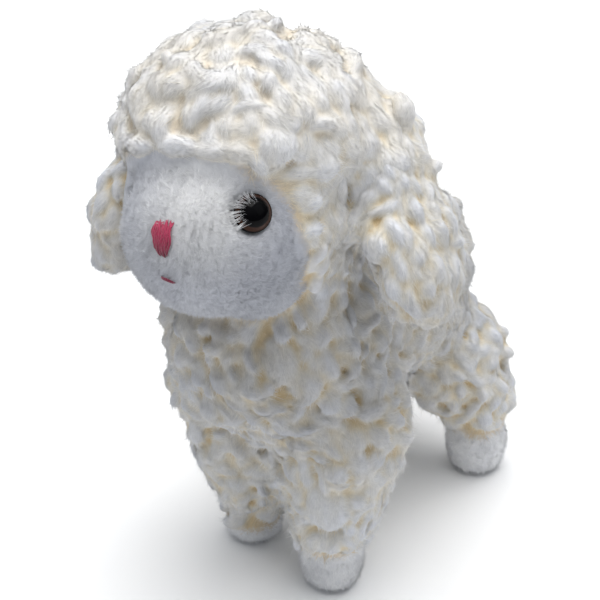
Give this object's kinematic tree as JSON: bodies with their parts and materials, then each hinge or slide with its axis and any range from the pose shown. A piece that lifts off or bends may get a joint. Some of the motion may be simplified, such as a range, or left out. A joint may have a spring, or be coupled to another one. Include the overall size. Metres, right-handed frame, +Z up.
{
  "type": "plush toy lamb",
  "caption": "Standing plush toy lamb with curly fleece, hanging ears, a short-pile face and feet, plastic eyes and a sewn nose and mouth.",
  "frame": {"origin": "on the floor, under the middle of the toy's bounding box", "axes": "+Z up; the lamb faces -Y; +X is the lamb's left"},
  "size_m": [0.14, 0.1928, 0.2247],
  "materials": {
    "fleece": "curly cream-white fleece, yellower at its roots",
    "short_pile": "short white brushed pile",
    "eye_plastic": "polished, a black pupil in a dark brown iris",
    "pink_thread": "satin-stitched deep pink embroidery thread"
  },
  "bodies": {
    "root": {"trunk": "fleece", "neck": "fleece", "head": "fleece", "tail": "fleece", "ear_left": "fleece", "ear_right": "fleece", "leg_front_left": "fleece", "leg_front_right": "fleece", "leg_rear_left": "fleece", "leg_rear_right": "fleece", "face": "short_pile", "foot_front_left": "short_pile", "foot_front_right": "short_pile", "foot_rear_left": "short_pile", "foot_rear_right": "short_pile", "eye_left": "eye_plastic", "eye_right": "eye_plastic", "nose": "pink_thread", "mouth": "pink_thread"}
  },
  "joints": []
}
